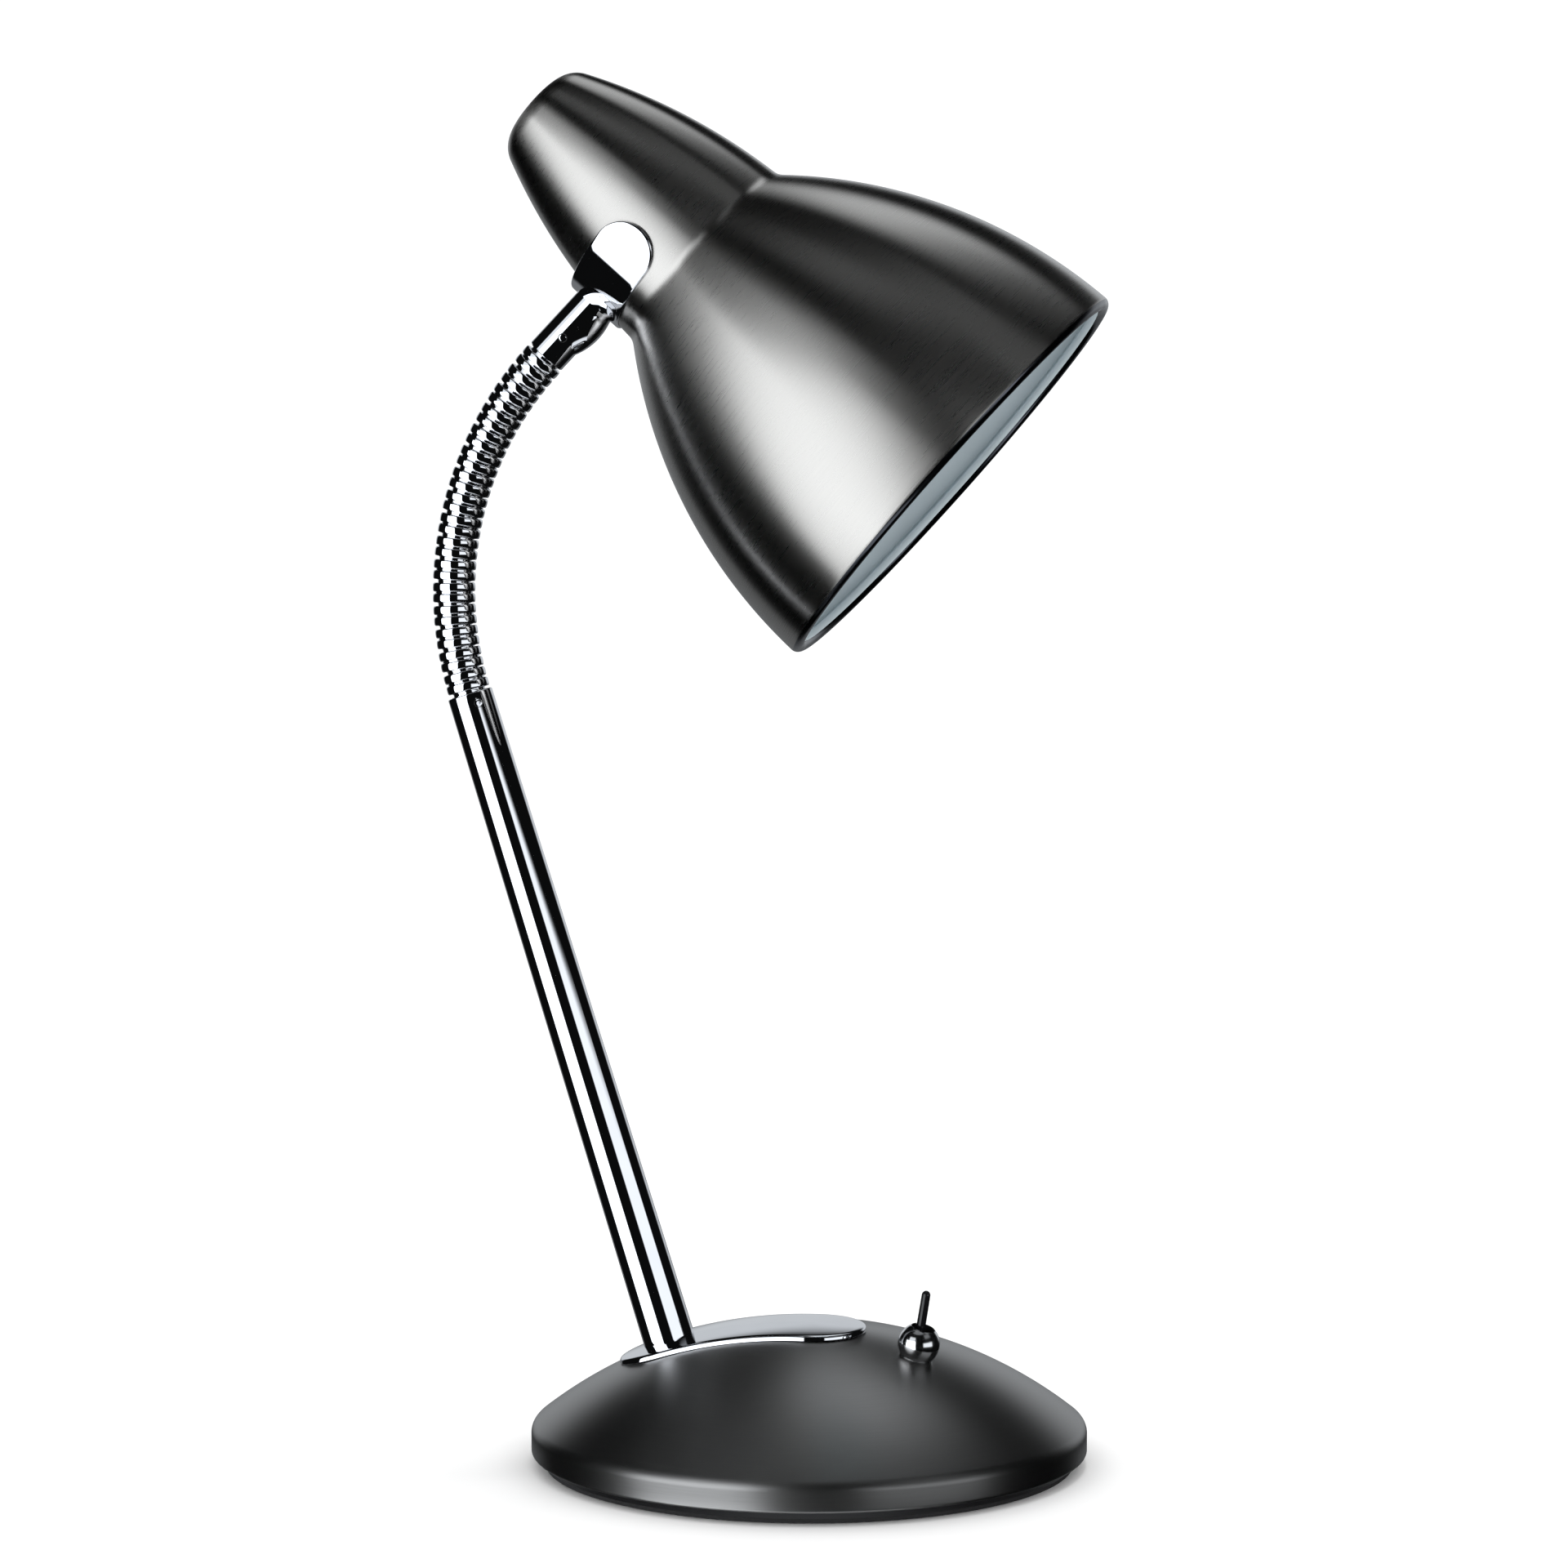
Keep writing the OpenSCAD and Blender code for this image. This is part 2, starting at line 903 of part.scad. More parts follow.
module holder_shell() {
  color([0.8, 0.65, 0.3])
    in_shade()
      ring(14.25, 13.6, 36, holder_end - 2);
}

module holder_contact() {
  color([0.8, 0.65, 0.3])
    in_shade() {
      translate([-4, -2.5, 34])
        cube([8, 5, 0.8]);
      translate([-3, -2, 34.8])
        cube([6, 4, 1.6]);
    }
}

module bulb_cap() {
  color([0.75, 0.75, 0.77])
    in_shade() {
      translate([0, 0, 36.5])
        cylinder(r = 4.5, h = 1.6);
      translate([0, 0, 38])
        cylinder(r1 = 9, r2 = 12.9, h = 3);
      for (i = [0 : 4])
        translate([0, 0, 41 + i * 3.6]) {
          cylinder(r1 = 12.9, r2 = 13.2, h = 1.8);
          translate([0, 0, 1.8])
            cylinder(r1 = 13.2, r2 = 12.9, h = 1.8);
        }
      translate([0, 0, 59])
        cylinder(r = 13.4, h = 4.5);
    }
}

module bulb_globe() {
  color([0.97, 0.97, 0.95])
    in_shade() {
      translate([0, 0, globe_at])
        sphere(r = globe_d / 2);
      translate([0, 0, 63.5])
        cylinder(r1 = 13, r2 = 18.4, h = globe_at - 63.5 - 12.95);
    }
}

// The lead from the gooseneck's top through the ferrule to the lampholder.
module head_lead() {
  lean = goose_end - shade_drop;
  mouth = neck_below - 10 * cos(lean);
  color([0.15, 0.15, 0.15])
    in_shade()
      lead([[neck_below + ferrule_len * cos(lean), 0, neck_along - ferrule_len * sin(lean)],
        [mouth, 0, neck_along + 10 * sin(lean)], [mouth - 2, 0, 46], [mouth - 2.2, 0, 34],
        [mouth - 4.5, 0, 28.5], [11, 0, 26]], lead_r);
}

// ---------------------------------------------------------------- everything

base_shell();
base_weight();
base_plate();
base_pad();
base_posts();
plate_screws();
saddle_plate();
stem_tube();
stem_nipple();
stem_washer();
stem_nut();
switch_body();
switch_bushing();
switch_nut();
switch_collar();
switch_terminals();
switch_lever();
cable_gland();
terminal_block();
base_lead();
stem_lead();
gooseneck_plug();
lower_grub_screw();
coil_01();
coil_02();
coil_03();
coil_04();
coil_05();
coil_06();
coil_07();
coil_08();
coil_09();
coil_10();
coil_11();
coil_12();
coil_13();
coil_14();
coil_15();
coil_16();
gooseneck_lead();
upper_ferrule();
upper_grub_screw();
neck_saddle();
neck_spacer();
neck_nipple();
neck_seat();
neck_nut();
shade_shell();
holder_plate();
holder_nipple();
holder_nut();
holder_body();
holder_shell();
holder_contact();
bulb_cap();
bulb_globe();
head_lead();
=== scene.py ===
import json
import math

import bmesh
import bpy
from mathutils import Matrix, Vector

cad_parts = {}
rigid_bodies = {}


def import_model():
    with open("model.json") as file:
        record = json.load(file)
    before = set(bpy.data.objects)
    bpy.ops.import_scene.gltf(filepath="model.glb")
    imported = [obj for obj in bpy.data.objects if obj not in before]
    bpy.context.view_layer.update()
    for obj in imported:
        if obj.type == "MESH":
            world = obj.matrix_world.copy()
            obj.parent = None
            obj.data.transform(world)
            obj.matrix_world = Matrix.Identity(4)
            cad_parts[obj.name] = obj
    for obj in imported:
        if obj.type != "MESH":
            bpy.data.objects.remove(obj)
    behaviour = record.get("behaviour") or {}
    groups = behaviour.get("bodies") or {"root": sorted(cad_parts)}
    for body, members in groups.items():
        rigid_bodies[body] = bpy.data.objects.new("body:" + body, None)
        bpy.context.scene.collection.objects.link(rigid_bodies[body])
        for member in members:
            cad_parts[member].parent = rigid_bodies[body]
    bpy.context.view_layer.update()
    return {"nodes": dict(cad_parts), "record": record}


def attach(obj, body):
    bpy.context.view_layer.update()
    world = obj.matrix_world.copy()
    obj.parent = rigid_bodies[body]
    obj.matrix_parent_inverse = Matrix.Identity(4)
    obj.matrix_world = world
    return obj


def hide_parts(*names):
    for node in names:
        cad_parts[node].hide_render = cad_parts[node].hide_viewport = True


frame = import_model()
nodes = frame["nodes"]

MM = 0.001
TAU = 2 * math.pi

# ------------------------------------------------------------------ sizes, in mm, as in the CAD

DOME_TOP, DOME_R, BASE_R, RIM_R = 39.4, 127.0, 80.0, 4.0
PLATE_TOP = 5.1
SADDLE_BACK, SADDLE_FRONT, SADDLE_W, SADDLE_T = 55.0, 17.0, 30.0, 1.4
SADDLE_ARCH, SADDLE_TURN = 138.0, -4.8
STEM_X, STEM_LEAN, STEM_LEN, STEM_GAP = 40.8, 17.2, 196.0, 0.6
STEM_FOOT_R, STEM_TOP_R, STEM_BORE_R = 7.5, 6.55, 5.3
SEGS, SEG_LEN, GOOSE_R, GOOSE_END, SEG_GAP, BALL_R = 16, 6.44, 6.15, 43.6, 0.9, 4.65
FERRULE_R, FERRULE_LEN = 5.9, 20.3
BARREL_ARC, BARREL_R, BARREL_AT, BARREL_OFF = 18.5, 5.75, 14.5, 1.9
STRAP_R, STRAP_T, STRAP_W, STRAP_ALONG, STRAP_ENDS = 31.6, 0.85, 17.6, 50.9, 13.2
SHADE_DROP, NECK_ALONG, SHADE_T, END_ROUND = 41.6, 49.7, 1.0, 8.5
NECK_ARC, NECK_ARC_AT, NECK_ARC_OFF = 174.5, 76.0, 143.0
BELL_ARC, BELL_ARC_AT, BELL_ARC_OFF, BELL_LEN, BEAD_R = 148.0, 161.4, 81.5, 158.0, 2.2
SWITCH_RING, SWITCH_TURN, COLLAR_R, COLLAR_RISE = 36.0, -26.0, 6.05, 3.8
LEVER_LEN, LEVER_R, LEVER_TILT = 18.5, 1.25, 6.0
GLOBE_R, GLOBE_AT = 22.5, 93.5

rad = math.radians
dome_z = DOME_TOP - DOME_R
foot_z = dome_z + math.sqrt((DOME_R + SADDLE_T) ** 2 - STEM_X ** 2)
seg_turn = (STEM_LEAN + GOOSE_END) / SEGS


def leaning(x, z, angle):
    """A frame at (x, 0, z) mm whose own Z leans by angle degrees from upright towards +X."""
    return Matrix.Translation((x * MM, 0, z * MM)) @ Matrix.Rotation(rad(angle), 4, "Y")


joints = [(-STEM_X - STEM_LEN * math.sin(rad(STEM_LEAN)), foot_z + STEM_LEN * math.cos(rad(STEM_LEAN)))]
for k in range(1, SEGS + 1):
    lean = rad(-STEM_LEAN + seg_turn * (k - 0.5))
    joints.append((joints[-1][0] + SEG_LEN * math.sin(lean), joints[-1][1] + SEG_LEN * math.cos(lean)))

in_stem = leaning(-STEM_X, foot_z, -STEM_LEAN)
in_ferrule = leaning(joints[-1][0], joints[-1][1], GOOSE_END)
ferrule_end = in_ferrule @ Vector((0, 0, FERRULE_LEN * MM))
in_shade = (
    Matrix.Translation(ferrule_end)
    @ Matrix.Rotation(rad(90 + SHADE_DROP), 4, "Y")
    @ Matrix.Translation((-STRAP_R * MM, 0, -NECK_ALONG * MM))
)
in_dome = Matrix.Translation((0, 0, dome_z * MM))
in_switch = (
    in_dome
    @ Matrix.Rotation(rad(SWITCH_TURN), 4, "Z")
    @ Matrix.Rotation(math.asin(SWITCH_RING / DOME_R), 4, "Y")
    @ Matrix.Translation((0, 0, DOME_R * MM))
)

# ------------------------------------------------------------------ materials


class Finish:
    """A node material with one principled shader and short helpers."""

    def __init__(self, name, colour, metal=0.0, rough=0.5):
        self.material = bpy.data.materials.new(name)
        self.material.use_nodes = True
        self.tree = self.material.node_tree
        self.shader = self.tree.nodes["Principled BSDF"]
        self.set("Base Color", (*colour, 1))
        self.set("Metallic", metal)
        self.set("Roughness", rough)
        self.colour, self.rough = colour, rough

    def set(self, socket, value):
        self.shader.inputs[socket].default_value = value

    def node(self, kind, **values):
        new = self.tree.nodes.new(kind)
        for key, value in values.items():
            if key in new.inputs:
                new.inputs[key].default_value = value
            else:
                setattr(new, key, value)
        return new

    def link(self, a, b):
        self.tree.links.new(a, b)

    def place(self):
        return self.node("ShaderNodeTexCoord").outputs["Object"]

    def own_place(self, own):
        """Object coordinates taken into a frame that is turned only about Y."""
        shift = self.node("ShaderNodeVectorMath", operation="SUBTRACT")
        self.link(self.place(), shift.inputs[0])
        shift.inputs[1].default_value = own.translation
        turn = self.node("ShaderNodeVectorRotate", rotation_type="Y_AXIS")
        self.link(shift.outputs[0], turn.inputs["Vector"])
        turn.inputs["Angle"].default_value = -own.to_euler("XYZ").y
        return turn.outputs[0]

    def round_tangent(self, own):
        """The direction round a frame's own Z, for the brushing lines."""
        axis = self.node("ShaderNodeVectorTransform", vector_type="VECTOR")
        axis.convert_from, axis.convert_to = "OBJECT", "WORLD"
        axis.inputs[0].default_value = own.to_3x3() @ Vector((0, 0, 1))
        cross = self.node("ShaderNodeVectorMath", operation="CROSS_PRODUCT")
        self.link(axis.outputs[0], cross.inputs[0])
        self.link(self.node("ShaderNodeNewGeometry").outputs["Normal"], cross.inputs[1])
        unit = self.node("ShaderNodeVectorMath", operation="NORMALIZE")
        self.link(cross.outputs[0], unit.inputs[0])
        self.link(unit.outputs[0], self.shader.inputs["Tangent"])

    def brush_place(self, own, round_scale, across_scale, sign):
        """Coordinates that run round the object's own Z and across its brushing lines."""
        split = self.node("ShaderNodeSeparateXYZ")
        self.link(self.own_place(own), split.inputs[0])
        flat = self.node("ShaderNodeCombineXYZ")
        self.link(split.outputs["X"], flat.inputs["X"])
        self.link(split.outputs["Y"], flat.inputs["Y"])
        unit = self.node("ShaderNodeVectorMath", operation="NORMALIZE")
        self.link(flat.outputs[0], unit.inputs[0])
        length = self.node("ShaderNodeVectorMath", operation="LENGTH")
        self.link(flat.outputs[0], length.inputs[0])
        along = self.node("ShaderNodeMath", operation="MULTIPLY_ADD")
        self.link(split.outputs["Z"], along.inputs[0])
        along.inputs[1].default_value = sign
        self.link(length.outputs["Value"], along.inputs[2])
        across = self.node("ShaderNodeMath", operation="MULTIPLY")
        self.link(along.outputs[0], across.inputs[0])
        across.inputs[1].default_value = across_scale
        scaled = self.node("ShaderNodeVectorMath", operation="SCALE")
        self.link(unit.outputs[0], scaled.inputs[0])
        scaled.inputs["Scale"].default_value = round_scale
        parts = self.node("ShaderNodeSeparateXYZ")
        self.link(scaled.outputs[0], parts.inputs[0])
        whole = self.node("ShaderNodeCombineXYZ")
        self.link(parts.outputs["X"], whole.inputs["X"])
        self.link(parts.outputs["Y"], whole.inputs["Y"])
        self.link(across.outputs[0], whole.inputs["Z"])
        return whole.outputs[0]

    def noise(self, place, scale, detail=3.0, distortion=0.0):
        new = self.node("ShaderNodeTexNoise", Scale=scale, Detail=detail, Distortion=distortion)
        self.link(place, new.inputs["Vector"])
        return new.outputs["Fac"]

    def spread(self, fac, low, high, socket):
        new = self.node("ShaderNodeMapRange")
        self.link(fac, new.inputs["Value"])
        new.inputs["From Min"].default_value = 0.3
        new.inputs["From Max"].default_value = 0.7
        new.inputs["To Min"].default_value = low
        new.inputs["To Max"].default_value = high
        self.link(new.outputs["Result"], self.shader.inputs[socket])

    def tint(self, fac, dark, light):
        ramp = self.node("ShaderNodeValToRGB")
        ramp.color_ramp.elements[0].position = 0.3
        ramp.color_ramp.elements[1].position = 0.7
        ramp.color_ramp.elements[0].color = (*dark, 1)
        ramp.color_ramp.elements[1].color = (*light, 1)
        self.link(fac, ramp.inputs["Fac"])
        self.link(ramp.outputs["Color"], self.shader.inputs["Base Color"])

    def bump(self, fac, strength, distance_mm):
        new = self.node("ShaderNodeBump", Strength=strength, Distance=distance_mm * MM)
        self.link(fac, new.inputs["Height"])
        self.link(new.outputs["Normal"], self.shader.inputs["Normal"])


def shaded(colour, amount):
    return tuple(c * amount for c in colour)


def brushed(name, colour, rough, own, sign, bend=0.93):
    """Spun and brushed metal: fine lines round the axis of its own frame."""
    new = Finish(name, colour, 1.0, rough)
    place = new.brush_place(own, 5.0, 2200.0, sign)
    fine = new.noise(place, 1.0, 4.0)
    new.tint(fine, shaded(colour, 0.97), shaded(colour, 1.03))
    new.spread(fine, rough - 0.012, rough + 0.012, "Roughness")
    new.bump(fine, 0.005, 0.01)
    new.set("Anisotropic", bend)
    new.set("Anisotropic Rotation", 0.25)
    new.round_tangent(own)
    return new.material


def polished(name, colour, rough):
    """Bright plating: a mirror with the faintest polishing haze."""
    new = Finish(name, colour, 1.0, rough)
    place = new.place()
    haze = new.noise(place, 90.0, 4.0)
    new.spread(haze, rough * 0.6, rough * 1.5, "Roughness")
    new.tint(haze, shaded(colour, 0.97), shaded(colour, 1.02))
    return new.material


def grained(name, colour, rough, scale, strength, depth, metal=0.0, swing=0.12, tone=0.12):
    """A moulded, cast, painted or plated surface with its own fine grain."""
    new = Finish(name, colour, metal, rough)
    place = new.place()
    grain = new.noise(place, scale, 5.0)
    broad = new.noise(place, scale / 25, 2.0)
    new.tint(broad, shaded(colour, 1 - tone), shaded(colour, 1 + tone))
    new.spread(grain, rough - swing / 2, rough + swing / 2, "Roughness")
    new.bump(grain, strength, depth)
    return new.material


shade_metal = brushed("shade_brushed", (0.43, 0.415, 0.395), 0.28, in_shade, 1.0)
# the base is the same brushed metal as the shade, made darker in colour: painted shade
base_metal = brushed("base_brushed_painted_dark", (0.30, 0.295, 0.29), 0.37, Matrix.Identity(4), -1.0, 0.62)
# the rolled lip is the shell's own metal in a much darker colour: painted shade along the lip
lip_metal = polished("shade_lip", (0.10, 0.105, 0.12), 0.18)
chrome = polished("bright_chrome", (0.86, 0.87, 0.90), 0.025)
satin_chrome = polished("satin_chrome", (0.80, 0.80, 0.81), 0.13)
inner_paint = grained("shade_inner_paint", (0.50, 0.57, 0.605), 0.42, 2600.0, 0.12, 0.02, tone=0.02)
black_paint = grained("plate_black_paint", (0.012, 0.012, 0.013), 0.38, 2200.0, 0.25, 0.03)
pad_rubber = grained("pad_rubber", (0.02, 0.02, 0.021), 0.85, 1500.0, 0.5, 0.08)
black_gloss = grained("lever_black", (0.006, 0.006, 0.007), 0.14, 1400.0, 0.03, 0.01, swing=0.04)
# painted shade: near-black for the gap round each grub screw and for the well in the switch collar
hole_shade_black = grained("painted_hole_shade", (0.004, 0.004, 0.004), 0.7, 1400.0, 0.1, 0.01)
soft_black = grained("lead_black", (0.02, 0.02, 0.02), 0.55, 1800.0, 0.2, 0.02)
white_plastic = grained("holder_white", (0.80, 0.79, 0.75), 0.32, 900.0, 0.08, 0.02, tone=0.03)
cast_iron = grained("weight_cast_iron", (0.10, 0.10, 0.10), 0.7, 700.0, 0.6, 0.25, metal=1.0)
zinc = grained("zinc_plate", (0.62, 0.63, 0.65), 0.30, 1300.0, 0.1, 0.02, metal=1.0)
brass = grained("plain_brass", (0.74, 0.56, 0.26), 0.28, 1100.0, 0.1, 0.02, metal=1.0)
cap_metal = grained("bulb_cap_metal", (0.72, 0.73, 0.75), 0.26, 1200.0, 0.1, 0.02, metal=1.0)
opal = grained("bulb_opal", (0.93, 0.93, 0.91), 0.22, 900.0, 0.03, 0.01, tone=0.015)
opal.node_tree.nodes["Principled BSDF"].inputs["Subsurface Weight"].default_value = 0.15
opal.node_tree.nodes["Principled BSDF"].inputs["Subsurface Radius"].default_value = (0.01, 0.01, 0.009)

SLOT_FINISH = {
    "base_metal": base_metal,
    "shade_metal": shade_metal,
    "chrome": chrome,
    "cast_iron": cast_iron,
    "black_steel": black_paint,
    "pad_rubber": pad_rubber,
    "plated_steel": zinc,
    "brass": brass,
    "black_plastic": black_gloss,
    "gland_rubber": soft_black,
    "white_plastic": white_plastic,
    "lead_jacket": soft_black,
    "bulb_metal": cap_metal,
    "bulb_glass": opal,
}

# every CAD node gets the finish of its own material slot
node_slot = {part["node"]: part["material_slot"] for part in frame["record"]["subparts"]}
for name, slot_name in node_slot.items():
    own = nodes[name]
    found = own if isinstance(own, (list, tuple)) else [own]
    for each in found:
        for mesh_object in [each, *each.children_recursive]:
            if mesh_object.type != "MESH":
                continue
            if not mesh_object.material_slots:
                mesh_object.data.materials.append(SLOT_FINISH[slot_name])
            for material_slot in mesh_object.material_slots:
                material_slot.material = SLOT_FINISH[slot_name]

# ------------------------------------------------------------------ mesh helpers


def piece(name, verts, faces, place, finishes, body, replaces, face_finish=None, sharp=32.0):
    """A smooth-shaded mesh piece, made from mm in its own frame, that rides on a CAD body."""
    mesh = bpy.data.meshes.new(name)
    mesh.from_pydata([place @ Vector((x * MM, y * MM, z * MM)) for x, y, z in verts], [], faces)
    for finish in finishes:
        mesh.materials.append(finish)
    if face_finish:
        for face, index in zip(mesh.polygons, face_finish):
            face.material_index = index
    mesh.validate()
    whole = bmesh.new()
    whole.from_mesh(mesh)
    bmesh.ops.recalc_face_normals(whole, faces=whole.faces)
    whole.to_mesh(mesh)
    whole.free()
    mesh.shade_smooth()
    mesh.set_sharp_from_angle(angle=rad(sharp))
    new = bpy.data.objects.new(name, mesh)
    bpy.context.scene.collection.objects.link(new)
    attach(new, body)
    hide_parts(*replaces)


def circle(radius, height, steps):
    """Points round Z."""
    turns = [TAU * i / steps for i in range(steps)]
    return [(radius * math.cos(a), radius * math.sin(a), height) for a in turns]


def lathe(profile, steps, closed=False):
    """Verts, faces and each face's band, of (radius, height) points turned round Z. Radius 0 makes a pole."""
    verts, rings = [], []
    for r, z in profile:
        if r < 1e-6:
            rings.append([len(verts)])
            verts.append((0.0, 0.0, z))
        else:
            rings.append(list(range(len(verts), len(verts) + steps)))
            verts += circle(r, z, steps)
    faces, bands = [], []
    pairs = list(zip(rings, rings[1:])) + ([(rings[-1], rings[0])] if closed else [])
    for band, (a, b) in enumerate(pairs):
        for i in range(steps):
            j = (i + 1) % steps
            if len(a) == 1 and len(b) == 1:
                continue
            if len(a) == 1:
                faces.append((a[0], b[j], b[i]))
            elif len(b) == 1:
                faces.append((a[i], a[j], b[0]))
            else:
                faces.append((a[i], a[j], b[j], b[i]))
            bands.append(band)
    return verts, faces, bands


def arc(cx, cz, r, start, end, count):
    """Points on a circle in the profile plane, angles in degrees from +radius towards +height."""
    turns = [rad(start + (end - start) * i / count) for i in range(count + 1)]
    return [(cx + r * math.cos(a), cz + r * math.sin(a)) for a in turns]


def skin_faces(rings, count, flip=False):
    """Quads between rings of the same count of points."""
    faces = []
    for band in range(rings - 1):
        for i in range(count):
            j = (i + 1) % count
            face = (band * count + i, band * count + j, (band + 1) * count + j, (band + 1) * count + i)
            faces.append(face[::-1] if flip else face)
    return faces


def joined(*parts):
    """Several (verts, faces, finish index) meshes as one."""
    verts, faces, index = [], [], []
    for v, f, which in parts:
        faces += [tuple(i + len(verts) for i in face) for face in f]
        verts += v
        index += [which] * len(f)
    return verts, faces, index


def moved(verts, matrix):
    """Points in mm moved by a matrix that is in mm."""
    return [tuple(matrix @ Vector(p)) for p in verts]


# ------------------------------------------------------------------ base

SKIRT_R, SKIRT_Z, SHELL_T = 1.0, 4.3, 2.0
rim_x = BASE_R - RIM_R
rim_z = dome_z + math.sqrt((DOME_R - RIM_R) ** 2 - rim_x ** 2)
dome_edge = math.degrees(math.asin(rim_x / (DOME_R - RIM_R)))
dome_profile = [
    (DOME_R * math.sin(rad(dome_edge * i / 60)), dome_z + DOME_R * math.cos(rad(dome_edge * i / 60)))
    for i in range(61)
]
dome_profile += arc(rim_x, rim_z, RIM_R, 90 - dome_edge, 0, 14)[1:]
dome_profile += arc(BASE_R - SKIRT_R, SKIRT_Z, SKIRT_R, 0, -70, 8)
dome_profile += [(BASE_R - 0.66, PLATE_TOP), (BASE_R - SHELL_T, PLATE_TOP + 0.02)]
dome_profile += [(BASE_R - SHELL_T, rim_z - 1), (rim_x - 1.0, rim_z + 1.5)]
verts, faces, _ = lathe(dome_profile, 192)
piece("base_dome", verts, faces, Matrix.Identity(4), [base_metal], "base", ["base_shell"])


def stadium(x0, x1, half, count):
    """Outline of a bar with round ends, from its centre line's left end, anticlockwise."""
    points = []
    left, right = x0 + half, x1 - half
    for i in range(count + 1):
        a = rad(-90 + 180 * i / count)
        points.append((right + half * math.cos(a), half * math.sin(a)))
    points += [(right + (left - right) * i / count, half) for i in range(1, count)]
    for i in range(count + 1):
        a = rad(90 + 180 * i / count)
        points.append((left + half * math.cos(a), half * math.sin(a)))
    points += [(left + (right - left) * i / count, -half) for i in range(1, count)]
    return points


def saddle_mesh():
    """The arched plate on the dome: rings of one outline, eased over at the edge."""
    middle = (SADDLE_BACK - SADDLE_FRONT) / 2
    tilt = math.asin(middle / DOME_R)
    up = Vector((-math.sin(tilt), 0, math.cos(tilt)))
    centre = Vector((0, 0, dome_z)) + (DOME_R + 0.02 - SADDLE_ARCH) * up
    turn = Matrix.Rotation(rad(SADDLE_TURN), 3, "Z")
    foot = Vector((-STEM_X, 0, 0))

    def lifted(x, y, radius):
        at = foot + turn @ Vector((x, y, 0))
        drop = radius ** 2 - (at.x - centre.x) ** 2 - (at.y - centre.y) ** 2
        return (at.x, at.y, centre.z + math.sqrt(drop))

    low, high = STEM_X - SADDLE_BACK, STEM_X + SADDLE_FRONT
    half = SADDLE_W / 2
    outline = stadium(low, high, half, 40)
    line = [(min(max(x, low + half), high - half), 0.0) for x, _ in outline]
    # each ring's share of the way to the edge, and its height
    top = SADDLE_T - 0.01
    rings = [(0.0, top), (0.35, top), (0.7, top), (0.9, top), (0.955, top - 0.02)]
    rings += [(0.98, top - 0.13), (0.994, top - 0.33), (1.0, top - 0.59), (1.0, 0.0)]
    verts = []
    for share, height in rings:
        for (x, y), (cx, cy) in zip(outline, line):
            verts.append(lifted(cx + (x - cx) * share, cy + (y - cy) * share, SADDLE_ARCH + height))
    return verts, skin_faces(len(rings), len(outline), flip=True)


verts, faces = saddle_mesh()
flat_place = Matrix.Identity(4)
piece("stem_saddle", verts, faces, flat_place, [chrome], "base", ["saddle_plate"], sharp=50)

# ------------------------------------------------------------------ stem


def stem_radius(z):
    return STEM_FOOT_R + (STEM_TOP_R - STEM_FOOT_R) * z / STEM_LEN


stem_profile = [(STEM_BORE_R, -3.0), (stem_radius(-3.0), -3.0)]
stem_end = STEM_LEN - STEM_GAP
stem_profile += [(stem_radius(z), z) for z in (0, 40, 80, 120, 160, 185, 193, stem_end - 0.4)]
stem_profile += arc(STEM_TOP_R - 0.4, stem_end - 0.4, 0.4, 20, 90, 4)
stem_profile += [(STEM_BORE_R, stem_end), (STEM_BORE_R, stem_end - 8)]
verts, faces, _ = lathe(stem_profile, 96)
piece("stem", verts, faces, in_stem, [chrome], "base", ["stem_tube"])


def grub_mesh(surface, z, turn_deg):
    """A small recessed screw in a tube's wall: a dark ring of painted shade in its gap, a face and a socket.
    """
    ring_line = [(1.0, -0.45), (1.35, -0.45), (1.35, 0.02), (1.18, 0.03), (1.05, -0.12)]
    disc_line = [(1.05, -0.45), (1.05, -0.05), (0.85, 0.03), (0.55, 0.03), (0.5, -0.3), (0, -0.3)]
    ring = lathe([(r, surface + z) for r, z in ring_line], 32)
    disc = lathe([(r, surface + z) for r, z in disc_line], 32)
    turn = Matrix.Rotation(rad(90), 4, "X")
    swing = Matrix.Rotation(rad(turn_deg), 4, "Z")
    lift = Matrix.Translation((0, 0, z))
    place = lift @ swing @ turn
    a = (moved(ring[0], place), ring[1], 1)
    b = (moved(disc[0], place), disc[1], 0)
    return joined(a, b)


screw_looks = [chrome, hole_shade_black]
verts, faces, index = grub_mesh(STEM_TOP_R, STEM_LEN - 4, 26)
stands_for = ["lower_grub_screw"]
piece("stem_grub_screw", verts, faces, in_stem, screw_looks, "base", stands_for, index)
verts, faces, index = grub_mesh(FERRULE_R, 8.2, 8)
stands_for = ["upper_grub_screw"]
piece("ferrule_grub_screw", verts, faces, in_ferrule, screw_looks, "head", stands_for, index)

# ------------------------------------------------------------------ gooseneck


